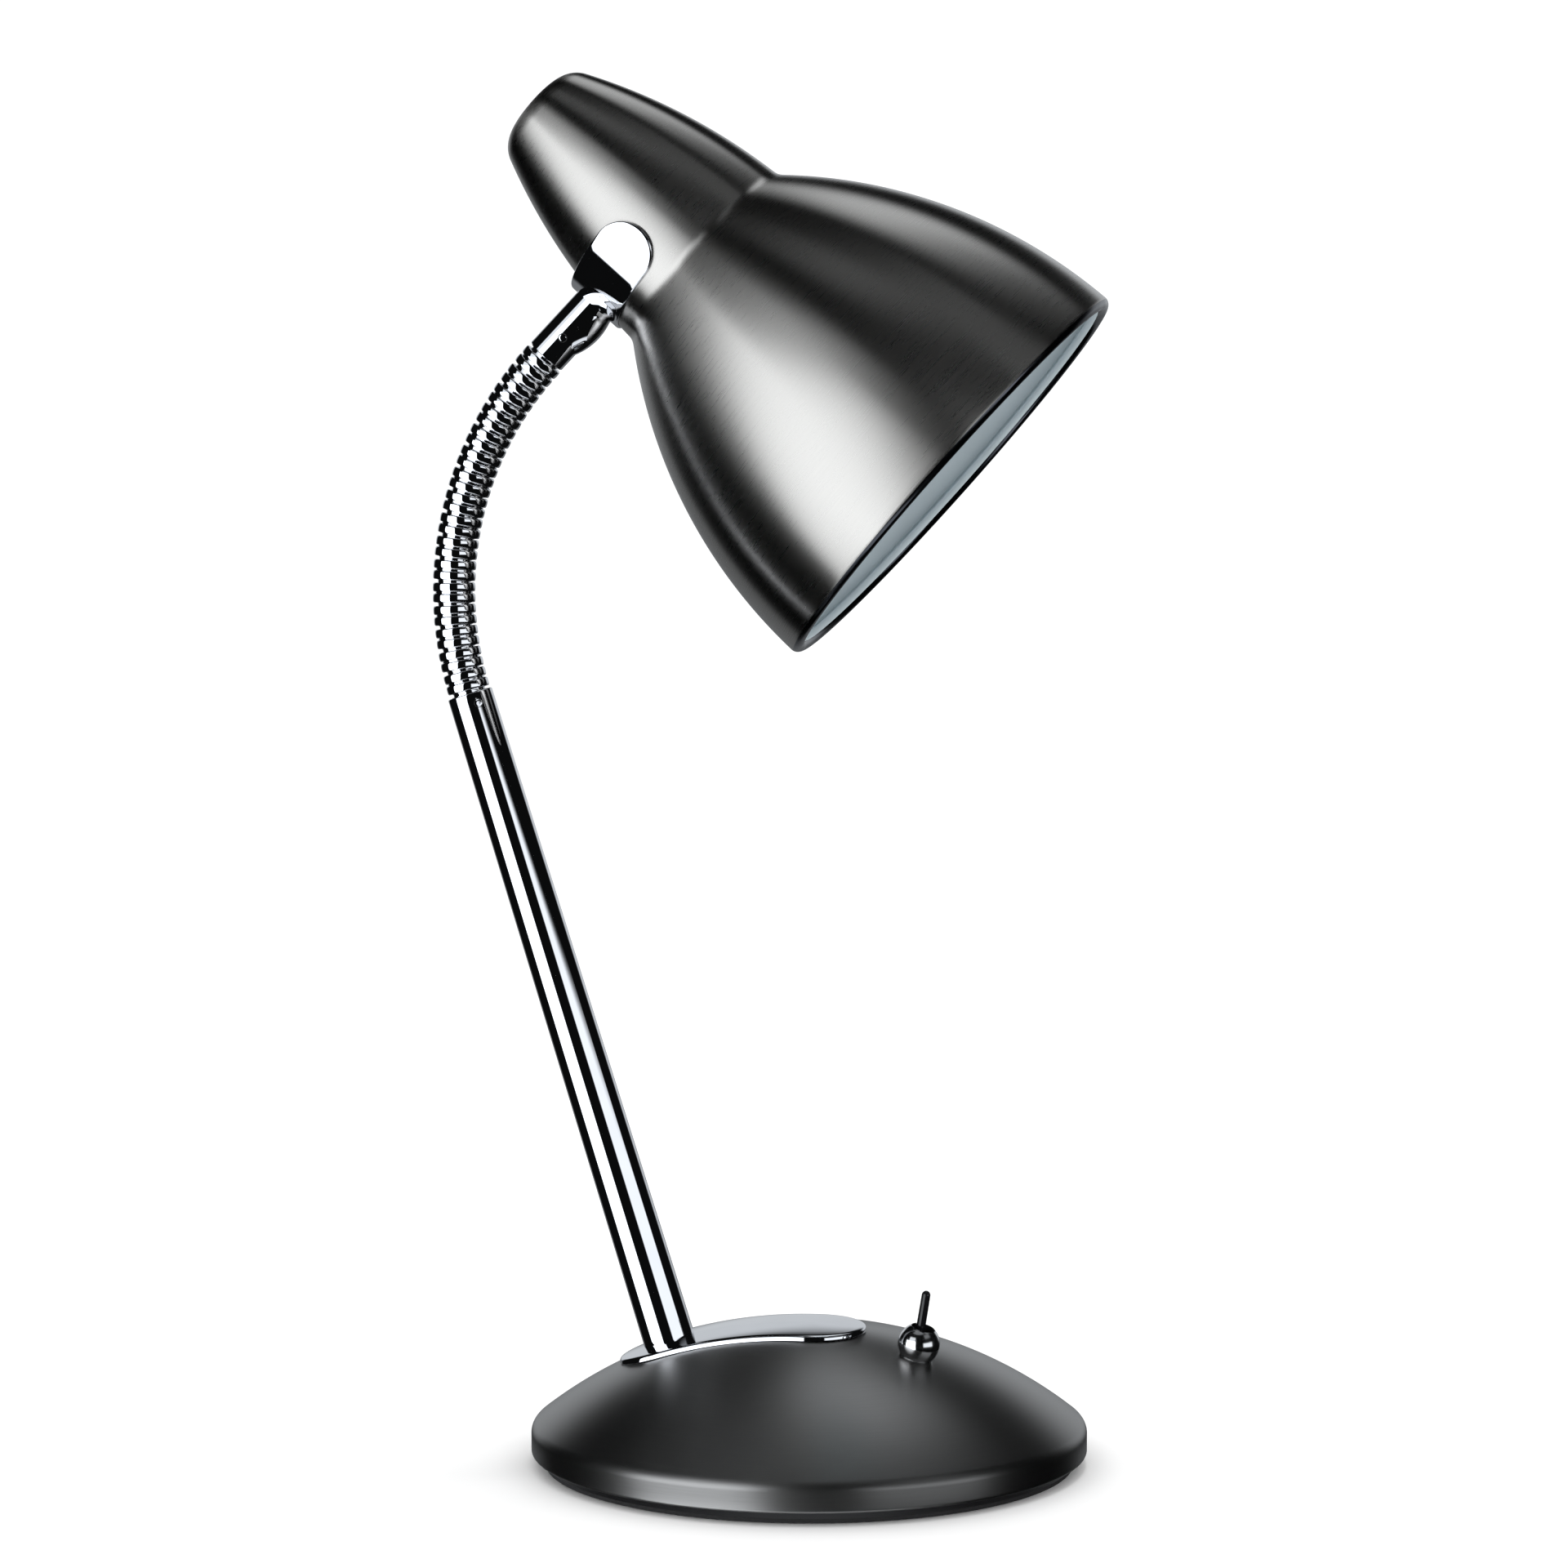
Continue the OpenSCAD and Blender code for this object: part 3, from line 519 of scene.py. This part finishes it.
def link_profile(last):
    """Two turns of the hose, from the socket up round the outside to the ball."""
    out = []
    half = SEG_GAP / 2 - 0.08
    middle = SEG_LEN / 2
    out += [(4.85, 0.2), (4.9, half + 0.25), (5.1, half)]
    for low, high in ((half, middle - 0.28), (middle + 0.28, SEG_LEN - half)):
        for i in range(15):
            t = 0.5 - 0.5 * math.cos(math.pi * i / 14)
            z = low + (high - low) * t
            edge = abs(2 * t - 1)
            out.append((GOOSE_R - 0.12 * edge ** 2 - 0.28 * edge ** 9, z))
        if low == half:
            out.append((5.35, middle - 0.2))
            out.append((5.35, middle + 0.2))
    if last:
        out += [(BALL_R, SEG_LEN - half + 0.02), (BALL_R, SEG_LEN + 6)]
    else:
        out += [(4.9, SEG_LEN - half), (math.sqrt(BALL_R ** 2 - 0.35 ** 2), SEG_LEN - 0.35)]
        out += arc(0, SEG_LEN, BALL_R, 5, 55, 5)
    out += [(1.85, out[-1][1]), (1.85, 4.4), (4.3, 2.2)]
    return out


for k in range(1, SEGS + 1):
    verts, faces, _ = lathe(link_profile(k == SEGS), 64, closed=True)
    place = leaning(joints[k - 1][0], joints[k - 1][1], -STEM_LEAN + seg_turn * (k - 0.5))
    tube = lathe([(0, 1.2), (1.75, 1.2), (1.75, SEG_LEN + 1.2), (0, SEG_LEN + 1.2)], 16)
    verts, faces, index = joined((verts, faces, 0), (tube[0], tube[1], 1))
    body = "head" if k == SEGS else "segment_%02d" % k
    stands_for = ["coil_%02d" % k] + (["gooseneck_lead"] if k == 1 else [])
    looks = [chrome, soft_black]
    piece("link_%02d" % k, verts, faces, place, looks, body, stands_for, index, sharp=40)

# ------------------------------------------------------------------ ferrule and neck saddle


def ferrule_mesh():
    """The cast end piece: a round barrel with a swelling on the side of the bell."""
    steps, levels = 96, 40
    lean = rad(SHADE_DROP - GOOSE_END)

    def outer(angle, z):
        swell = BARREL_R - BARREL_ARC + math.sqrt(BARREL_ARC ** 2 - (z - BARREL_AT) ** 2)
        side = BARREL_OFF * math.sin(angle)
        if swell <= abs(side):
            return FERRULE_R
        bulge = BARREL_OFF * math.cos(angle) + math.sqrt(swell ** 2 - side ** 2)
        return max(FERRULE_R, bulge)

    rows = []
    for level in range(levels + 1):
        row = []
        for i in range(steps):
            angle = TAU * i / steps
            share = level / levels
            z = SEG_GAP / 2 + 0.35 + share * (FERRULE_LEN - SEG_GAP / 2 - 0.35)
            r = outer(angle, z)
            if level == levels:
                y = r * math.sin(angle)
                curve = STRAP_R - math.sqrt(STRAP_R ** 2 - y * y)
                z = FERRULE_LEN + curve - r * math.cos(angle) * math.tan(lean) + 0.12
            row.append((r * math.cos(angle), r * math.sin(angle), z))
        rows.append(row)
    first = circle(FERRULE_R - 0.35, SEG_GAP / 2, steps)
    bore = circle(4.7, SEG_GAP / 2, steps)
    deep = circle(4.7, SEG_GAP / 2 + 6, steps)
    rows = [deep, bore, first] + rows
    return [point for row in rows for point in row], skin_faces(len(rows), steps)


verts, faces = ferrule_mesh()
piece("ferrule", verts, faces, in_ferrule, [chrome], "head", ["upper_ferrule"], sharp=28)


def strap_mesh():
    """The arched plate under the neck, with round ends and eased edges."""
    half = STRAP_W / 2
    # each ring's share of the way to the edge, and its depth
    rings = [(0.0, 0.0), (0.4, 0.0), (0.8, 0.0), (0.93, 0.0), (0.97, 0.06), (0.99, 0.18), (1.0, 0.36)]
    rings += [(1.0, STRAP_T - 0.1), (0.985, STRAP_T), (0.8, STRAP_T), (0.0, STRAP_T)]
    flat = STRAP_R * (math.acos(STRAP_ENDS / STRAP_R))
    outline, line = [], []
    for i in range(61):
        s = -flat + 2 * flat * i / 60
        outline.append((s, half))
        line.append((s, 0.0))

    def end_points(sign):
        points = []
        for i in range(1, 32):
            a = rad(180 * i / 32)
            points.append((sign * flat + sign * half * math.sin(a), sign * half * math.cos(a)))
        return points

    right = end_points(1)
    outline += right
    line += [(flat, 0.0)] * len(right)
    for i in range(61):
        s = flat - 2 * flat * i / 60
        outline.append((s, -half))
        line.append((s, 0.0))
    left = end_points(-1)
    outline += left
    line += [(-flat, 0.0)] * len(left)
    verts = []
    for share, depth in rings:
        for (s, w), (cs, cw) in zip(outline, line):
            a = cs + (s - cs) * share
            b = cw + (w - cw) * share
            beyond = abs(a) - flat
            if beyond > 0:
                # the end is a half circle seen from the side, so it stretches a little round the arch
                x = STRAP_ENDS - beyond
                angle = math.copysign(math.acos(max(-1, x / STRAP_R)), a)
            else:
                angle = a / STRAP_R
            r = STRAP_R - depth
            verts.append((r * math.cos(angle), r * math.sin(angle), STRAP_ALONG + b))
    return verts, skin_faces(len(rings), len(outline))


verts, faces = strap_mesh()
piece("neck_strap", verts, faces, in_shade, [chrome], "head", ["neck_saddle"], sharp=50)

# ------------------------------------------------------------------ shade


def neck_radius(z, skin=0.0):
    return math.sqrt((NECK_ARC - skin) ** 2 - (z - NECK_ARC_AT) ** 2) - NECK_ARC_OFF


def bell_radius(z, skin=0.0):
    return math.sqrt((BELL_ARC - skin) ** 2 - (z - BELL_ARC_AT) ** 2) - BELL_ARC_OFF


def spaced(start, end, count):
    """Even steps from start, which is left out, to end."""
    return [start + (end - start) * i / count for i in range(1, count + 1)]


def shade_line(skin):
    """The spun form from the closed end's middle to just short of the rim."""
    end_flat = math.sqrt((NECK_ARC - END_ROUND) ** 2 - (NECK_ARC_AT - END_ROUND) ** 2) - NECK_ARC_OFF
    turn = math.degrees(math.atan2(END_ROUND - NECK_ARC_AT, end_flat + NECK_ARC_OFF))
    line = [(0.0, skin), (end_flat * 0.3, skin), (end_flat * 0.6, skin), (end_flat * 0.85, skin)]
    line += arc(end_flat, END_ROUND, END_ROUND - skin, -90, turn, 14)
    heights = [z / 50 for z in range(50 * 55, 50 * 80)]
    meet = next(z for z in heights if bell_radius(z, skin) > neck_radius(z, skin))
    start = line[-1][1]
    line += [(neck_radius(z, skin), z) for z in spaced(start, meet, 28)]
    softness = 1.6
    eased = [(r, z) for r, z in line if z <= meet - softness]
    low = (neck_radius(meet - softness, skin), meet - softness)
    corner = (neck_radius(meet, skin), meet)
    high = (bell_radius(meet + softness, skin), meet + softness)
    for i in range(7):
        t = i / 6
        ease = ((1 - t) ** 2, 2 * t * (1 - t), t * t)
        eased.append(tuple(ease[0] * a + ease[1] * b + ease[2] * c for a, b, c in zip(low, corner, high)))
    return eased + [(bell_radius(z, skin), z) for z in spaced(meet + softness, BELL_LEN, 44)]


rim_r = bell_radius(BELL_LEN) - BEAD_R
outer_line = shade_line(0.0)
lip_line = arc(rim_r, BELL_LEN, BEAD_R, 8, 215, 22)
inner_line = [p for p in reversed(shade_line(SHADE_T)) if p[1] < BELL_LEN - 1.6]
profile = outer_line + lip_line + inner_line
verts, faces, bands = lathe(profile, 192)
split_a = len(outer_line) + 1
split_b = len(outer_line) + len(lip_line) - 7
band_finish = [0 if b < split_a else (1 if b < split_b else 2) for b in bands]
shade_looks = [shade_metal, lip_metal, inner_paint]
stands_for = ["shade_shell"]
piece("shade", verts, faces, in_shade, shade_looks, "head", stands_for, band_finish, sharp=38)

# ------------------------------------------------------------------ switch

collar_low = -1.6
hole_r = 3.3
top_angle = math.degrees(math.acos(hole_r / COLLAR_R))
low_angle = math.degrees(math.asin((collar_low - COLLAR_RISE) / COLLAR_R))
ball = arc(0, COLLAR_RISE, COLLAR_R, low_angle, top_angle - 2, 30)
ball += [(hole_r + 0.12, ball[-1][1] + 0.10), (hole_r, ball[-1][1] - 0.12)]
# the well is near-black, painted shade deep in the collar's hole
well = [(hole_r, ball[-1][1]), (hole_r, 2.95), (0, 2.95)]
outside = lathe(ball, 96)
inside = lathe(well, 48)
verts, faces, index = joined((outside[0], outside[1], 0), (inside[0], inside[1], 1))
collar_looks = [satin_chrome, hole_shade_black]
piece("toggle_collar", verts, faces, in_switch, collar_looks, "base", ["switch_collar"], index)

lever_place = in_switch @ Matrix.Translation((0, 0, 1 * MM)) @ Matrix.Rotation(rad(-LEVER_TILT), 4, "Y")
tip = LEVER_LEN - LEVER_R
lever_profile = [(0, -2.1), (1.5, -1.5), (2.1, 0), (1.5, 1.5), (LEVER_R + 0.1, 2.2)]
lever_profile += [(LEVER_R + 0.1 - 0.1 * i / 6, 2.2 + (tip - 2.2) * i / 6) for i in range(1, 7)]
lever_profile += arc(0, tip, LEVER_R, 5, 90, 8)
lever_profile[-1] = (0, LEVER_LEN)
verts, faces, _ = lathe(lever_profile, 40)
piece("toggle_lever", verts, faces, lever_place, [black_gloss], "lever", ["switch_lever"])

# ------------------------------------------------------------------ bulb

bulb = [(12.95, 63.6)] + [(13.0 + 5.1 * (i / 6) ** 1.2, 63.8 + 10.6 * i / 6) for i in range(7)]
start = math.degrees(math.asin((75.6 - GLOBE_AT) / GLOBE_R))
bulb += arc(0, GLOBE_AT, GLOBE_R - 0.02, start, 90, 30)
bulb[-1] = (0, GLOBE_AT + GLOBE_R - 0.02)
verts, faces, _ = lathe(bulb, 96)
piece("opal_bulb", verts, faces, in_shade, [opal], "head", ["bulb_globe"])

# ------------------------------------------------------------------ stage, light and camera

scene = bpy.context.scene
scene.view_settings.view_transform = "Standard"
scene.view_settings.look = "Medium Contrast"
VIEW_TURN, CAMERA_AWAY, CAMERA_RISE = 7, 1.2, 0.275

floor_mesh = bpy.data.meshes.new("studio_floor")
ROUND = 96
FLOOR_R, FLAG_INNER, FLAG_OUTER, FLAG_Z = 6.0, 0.093, 0.122, 0.0002
floor_verts = [(0, 0, 0)] + circle(FLOOR_R, 0, ROUND)
floor_mesh.from_pydata(floor_verts, [], [(0, i + 1, (i + 1) % ROUND + 1) for i in range(ROUND)])
floor_look = Finish("floor_white", (0.93, 0.93, 0.93), 0.0, 0.9)
floor_look.set("Specular IOR Level", 0.0)
floor_mesh.materials.append(floor_look.material)
floor = bpy.data.objects.new("studio_floor", floor_mesh)
floor.location.z = -0.0002
floor.visible_glossy = False
scene.collection.objects.link(floor)

# a black card round the foot, seen only in reflections
flag_mesh = bpy.data.meshes.new("dark_flag")
flag_verts = circle(FLAG_INNER, FLAG_Z, ROUND) + circle(FLAG_OUTER, FLAG_Z, ROUND)
flag_mesh.from_pydata(flag_verts, [], skin_faces(2, ROUND))
flag_look = Finish("flag_black", (0.003, 0.003, 0.003), 0.0, 1.0)
flag_look.set("Specular IOR Level", 0.0)
flag_mesh.materials.append(flag_look.material)
flag = bpy.data.objects.new("dark_flag", flag_mesh)
flag.visible_camera = flag.visible_diffuse = flag.visible_shadow = flag.visible_transmission = False
scene.collection.objects.link(flag)


def area(name, at, aim, width, height, power):
    lamp = bpy.data.lights.new(name, "AREA")
    lamp.shape = "RECTANGLE"
    lamp.size, lamp.size_y = width, height
    lamp.energy = power
    new = bpy.data.objects.new(name, lamp)
    new.location = at
    new.rotation_euler = (Vector(aim) - Vector(at)).to_track_quat("-Z", "Y").to_euler()
    scene.collection.objects.link(new)
    return new


top = area("top_softbox", (0.1, 0.15, 1.9), (0, 0, 0.1), 0.5, 0.5, 8)
top.visible_glossy = False

world = bpy.data.worlds.new("studio")
scene.world = world
world.use_nodes = True
world.cycles.sampling_method = "NONE"
tree = world.node_tree
tree.nodes.clear()


def sky_math(operation, a, b=None):
    new = tree.nodes.new("ShaderNodeMath")
    new.operation = operation
    for socket, value in zip(new.inputs, (a, b)):
        if isinstance(value, (int, float)):
            socket.default_value = value
        elif value is not None:
            tree.links.new(value, socket)
    return new.outputs[0]


def step_up(value, at, soft):
    new = tree.nodes.new("ShaderNodeMapRange")
    new.interpolation_type = "SMOOTHSTEP"
    tree.links.new(value, new.inputs["Value"])
    new.inputs["From Min"].default_value = at - soft
    new.inputs["From Max"].default_value = at + soft
    return new.outputs["Result"]


def card(turn, low_turn, high_turn, low_rise, high_rise, strength, soft=2.0):
    """A soft-edged bright panel of the studio, between two azimuths and two heights in degrees."""
    wide = sky_math("SUBTRACT", step_up(turn, low_turn, soft), step_up(turn, high_turn, soft))
    tall = sky_math("SUBTRACT", step_up(rise, low_rise, soft), step_up(rise, high_rise, soft))
    return sky_math("MULTIPLY", sky_math("MULTIPLY", wide, tall), strength)


coordinate = tree.nodes.new("ShaderNodeTexCoord")
split = tree.nodes.new("ShaderNodeSeparateXYZ")
turned = tree.nodes.new("ShaderNodeVectorRotate")
turned.rotation_type = "Z_AXIS"
turned.inputs["Angle"].default_value = rad(-VIEW_TURN)
tree.links.new(coordinate.outputs["Generated"], turned.inputs["Vector"])
tree.links.new(turned.outputs[0], split.inputs[0])
# azimuth from the viewer's side, positive towards the right, and the same from the far side
toward, away = sky_math("MULTIPLY", split.outputs["Y"], -1), split.outputs["Y"]
front = sky_math("MULTIPLY", sky_math("ARCTAN2", split.outputs["X"], toward), 360 / TAU)
rear = sky_math("MULTIPLY", sky_math("ARCTAN2", split.outputs["X"], away), 360 / TAU)
rise = sky_math("MULTIPLY", sky_math("ARCSINE", split.outputs["Z"]), 360 / TAU)

# the left card is the key; the right one only shows in the chrome; the rear ones light the top surfaces
cards = [
    card(front, -76, -21, -48, 23, 2.5),
    card(front, -62, -24, 23, 42, 0.95),
    card(front, 23, 75, -7, 13, 1.15),
    card(front, 40, 80, 34, 54, 0.2, 6.0),
    card(front, -70, 70, 62, 78, 0.22, 4.0),
    card(front, -80, 80, -88, -52, 0.9, 3.0),
    card(rear, -36, 44, -2, 22, 0.62, 6.0),
    card(rear, -34, 34, -34, -2, 0.18, 5.0),
    card(rear, -5, 35, 48, 74, 1.3, 6.0),
]
total = 0.004
for each in cards:
    total = sky_math("ADD", each, total)

output = tree.nodes.new("ShaderNodeOutputWorld")
dark = tree.nodes.new("ShaderNodeBackground")
tree.links.new(total, dark.inputs["Strength"])
dark.inputs["Color"].default_value = (0.92, 0.96, 1.0, 1)
seen = tree.nodes.new("ShaderNodeBackground")
seen.inputs["Color"].default_value = (1, 1, 1, 1)
seen.inputs["Strength"].default_value = 1.10
path = tree.nodes.new("ShaderNodeLightPath")
mix = tree.nodes.new("ShaderNodeMixShader")
tree.links.new(path.outputs["Is Glossy Ray"], mix.inputs[0])
tree.links.new(seen.outputs[0], mix.inputs[1])
tree.links.new(dark.outputs[0], mix.inputs[2])
tree.links.new(mix.outputs[0], output.inputs[0])

camera_data = bpy.data.cameras.new("camera")
camera_data.sensor_width = 36.0
camera_data.lens = 96.66
camera_data.clip_start = 0.05
camera = bpy.data.objects.new("camera", camera_data)
yaw, pitch = rad(-7.346), rad(3.79)
turn = rad(VIEW_TURN)
camera.location = (CAMERA_AWAY * math.sin(turn), -CAMERA_AWAY * math.cos(turn), CAMERA_RISE)
look = Vector((math.sin(yaw) * math.cos(pitch), math.cos(yaw) * math.cos(pitch), -math.sin(pitch)))
camera.rotation_euler = look.to_track_quat("-Z", "Y").to_euler()
scene.collection.objects.link(camera)
scene.camera = camera
